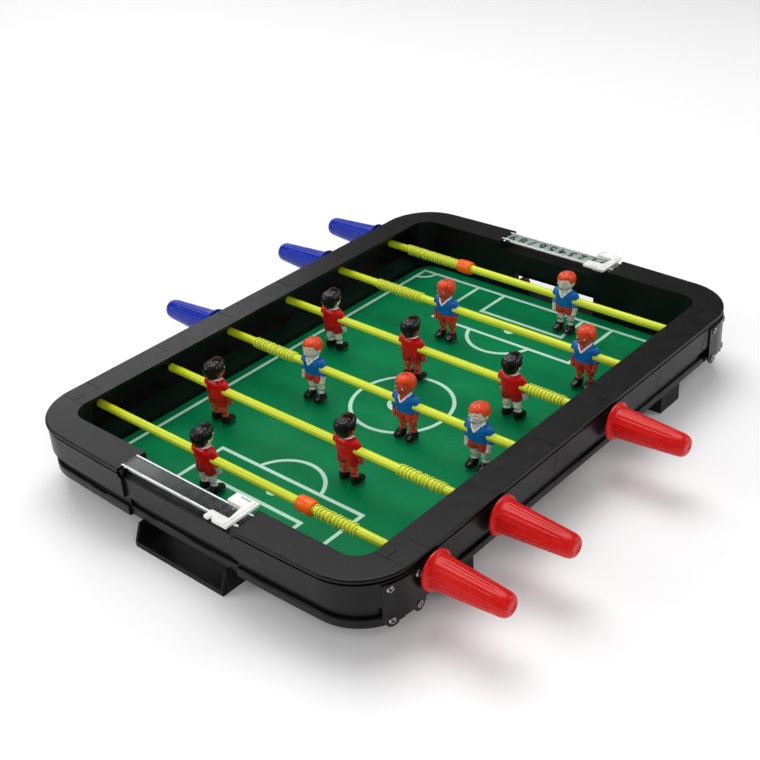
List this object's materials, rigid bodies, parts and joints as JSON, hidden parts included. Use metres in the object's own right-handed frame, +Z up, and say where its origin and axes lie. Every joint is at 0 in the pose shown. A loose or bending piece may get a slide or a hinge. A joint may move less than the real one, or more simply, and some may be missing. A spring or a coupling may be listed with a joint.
{
  "type": "tabletop foosball",
  "caption": "Small tabletop foosball: a black plastic frame round a green pitch, crossed by spring-buffered rods with painted players, grips, open goals and sliding scorers.",
  "frame": {"origin": "middle of the footprint, on the surface that the feet and goal boxes stand on", "axes": "+X along the rods towards the red team's grips, +Y along the pitch from the near goal to the far goal, +Z up"},
  "size_m": [0.4042, 0.4144, 0.0609],
  "materials": {
    "black_body": "satin moulded plastic with fine grain",
    "black_goal": "satin moulded plastic",
    "black_foot": "matt moulded plastic",
    "black_plate": "satin moulded plastic",
    "printed_board": "printed green pitch with pale lines",
    "clear_strip": "clear plastic strip with printed numbers",
    "white_clip": "glossy white plastic",
    "screw_steel": "bright plated steel",
    "pin_steel": "drawn steel wire",
    "yellow_tube": "glossy fluorescent yellow plastic",
    "spring_wire": "springy coated wire",
    "orange_stop": "glossy orange plastic",
    "red_handle": "glossy red plastic with fine flutes",
    "blue_handle": "glossy blue plastic with fine flutes",
    "red_player": "painted glossy plastic figure",
    "blue_player": "painted glossy plastic figure"
  },
  "bodies": {
    "frame": {"blue_keeper_spring": "spring_wire", "blue_pair_spring": "spring_wire", "blue_three_spring": "spring_wire", "corner_screws": "screw_steel", "far_end_frame": "black_body", "far_goal_box": "black_goal", "far_left_corner_plate": "black_plate", "far_left_foot": "black_foot", "far_right_corner_plate": "black_plate", "far_right_foot": "black_foot", "far_score_strip": "clear_strip", "left_side_rail": "black_body", "near_end_frame": "black_body", "near_goal_box": "black_goal", "near_left_corner_plate": "black_plate", "near_left_foot": "black_foot", "near_right_corner_plate": "black_plate", "near_right_foot": "black_foot", "near_score_strip": "clear_strip", "playing_field": "printed_board", "red_keeper_spring": "spring_wire", "red_pair_spring": "spring_wire", "red_three_spring": "spring_wire", "right_side_rail": "black_body"},
    "near_score_slide": {"near_score_slider": "white_clip"},
    "far_score_slide": {"far_score_slider": "white_clip"},
    "red_keeper_spindle": {"red_keeper_pin": "pin_steel"},
    "red_keeper_rod": {"red_keeper_figure_1": "red_player", "red_keeper_handle": "red_handle", "red_keeper_stop": "orange_stop", "red_keeper_tube": "yellow_tube"},
    "red_pair_spindle": {"red_pair_pin": "pin_steel"},
    "red_pair_rod": {"red_pair_figure_1": "red_player", "red_pair_figure_2": "red_player", "red_pair_handle": "red_handle", "red_pair_tube": "yellow_tube"},
    "blue_three_spindle": {"blue_three_pin": "pin_steel"},
    "blue_three_rod": {"blue_three_figure_1": "blue_player", "blue_three_figure_2": "blue_player", "blue_three_figure_3": "blue_player", "blue_three_handle": "blue_handle", "blue_three_tube": "yellow_tube"},
    "red_three_spindle": {"red_three_pin": "pin_steel"},
    "red_three_rod": {"red_three_figure_1": "red_player", "red_three_figure_2": "red_player", "red_three_figure_3": "red_player", "red_three_handle": "red_handle", "red_three_tube": "yellow_tube"},
    "blue_pair_spindle": {"blue_pair_pin": "pin_steel"},
    "blue_pair_rod": {"blue_pair_figure_1": "blue_player", "blue_pair_figure_2": "blue_player", "blue_pair_handle": "blue_handle", "blue_pair_tube": "yellow_tube"},
    "blue_keeper_spindle": {"blue_keeper_pin": "pin_steel"},
    "blue_keeper_rod": {"blue_keeper_figure_1": "blue_player", "blue_keeper_handle": "blue_handle", "blue_keeper_stop": "orange_stop", "blue_keeper_tube": "yellow_tube"}
  },
  "joints": [
    {"name": "red_keeper_turn", "type": "hinge", "parent": "frame", "child": "red_keeper_spindle", "pos_m": [-0.1396, -0.15, 0.0382], "axis": [1, 0, 0], "continuous": true},
    {"name": "red_keeper_slide", "type": "slide", "parent": "red_keeper_spindle", "child": "red_keeper_rod", "axis": [1, 0, 0], "range_m": [0, 0.046], "deforming": ["red_keeper_spring"]},
    {"name": "red_pair_turn", "type": "hinge", "parent": "frame", "child": "red_pair_spindle", "pos_m": [-0.1396, -0.09, 0.0382], "axis": [1, 0, 0], "continuous": true},
    {"name": "red_pair_slide", "type": "slide", "parent": "red_pair_spindle", "child": "red_pair_rod", "axis": [1, 0, 0], "range_m": [0, 0.066], "deforming": ["red_pair_spring"]},
    {"name": "blue_three_turn", "type": "hinge", "parent": "frame", "child": "blue_three_spindle", "pos_m": [0.1396, -0.03, 0.0382], "axis": [1, 0, 0], "continuous": true},
    {"name": "blue_three_slide", "type": "slide", "parent": "blue_three_spindle", "child": "blue_three_rod", "axis": [-1, 0, 0], "range_m": [0, 0.046], "deforming": ["blue_three_spring"]},
    {"name": "red_three_turn", "type": "hinge", "parent": "frame", "child": "red_three_spindle", "pos_m": [-0.1396, 0.03, 0.0382], "axis": [1, 0, 0], "continuous": true},
    {"name": "red_three_slide", "type": "slide", "parent": "red_three_spindle", "child": "red_three_rod", "axis": [1, 0, 0], "range_m": [0, 0.032], "deforming": ["red_three_spring"]},
    {"name": "blue_pair_turn", "type": "hinge", "parent": "frame", "child": "blue_pair_spindle", "pos_m": [0.1396, 0.09, 0.0382], "axis": [1, 0, 0], "continuous": true},
    {"name": "blue_pair_slide", "type": "slide", "parent": "blue_pair_spindle", "child": "blue_pair_rod", "axis": [-1, 0, 0], "range_m": [0, 0.062], "deforming": ["blue_pair_spring"]},
    {"name": "blue_keeper_turn", "type": "hinge", "parent": "frame", "child": "blue_keeper_spindle", "pos_m": [0.1396, 0.15, 0.0382], "axis": [1, 0, 0], "continuous": true},
    {"name": "blue_keeper_slide", "type": "slide", "parent": "blue_keeper_spindle", "child": "blue_keeper_rod", "axis": [-1, 0, 0], "range_m": [0, 0.042], "deforming": ["blue_keeper_spring"]},
    {"name": "near_score_slide_joint", "type": "slide", "parent": "frame", "child": "near_score_slide", "axis": [1, 0, 0], "range_m": [-0.0828, 0]},
    {"name": "far_score_slide_joint", "type": "slide", "parent": "frame", "child": "far_score_slide", "axis": [1, 0, 0], "range_m": [-0.0828, 0]}
  ]
}
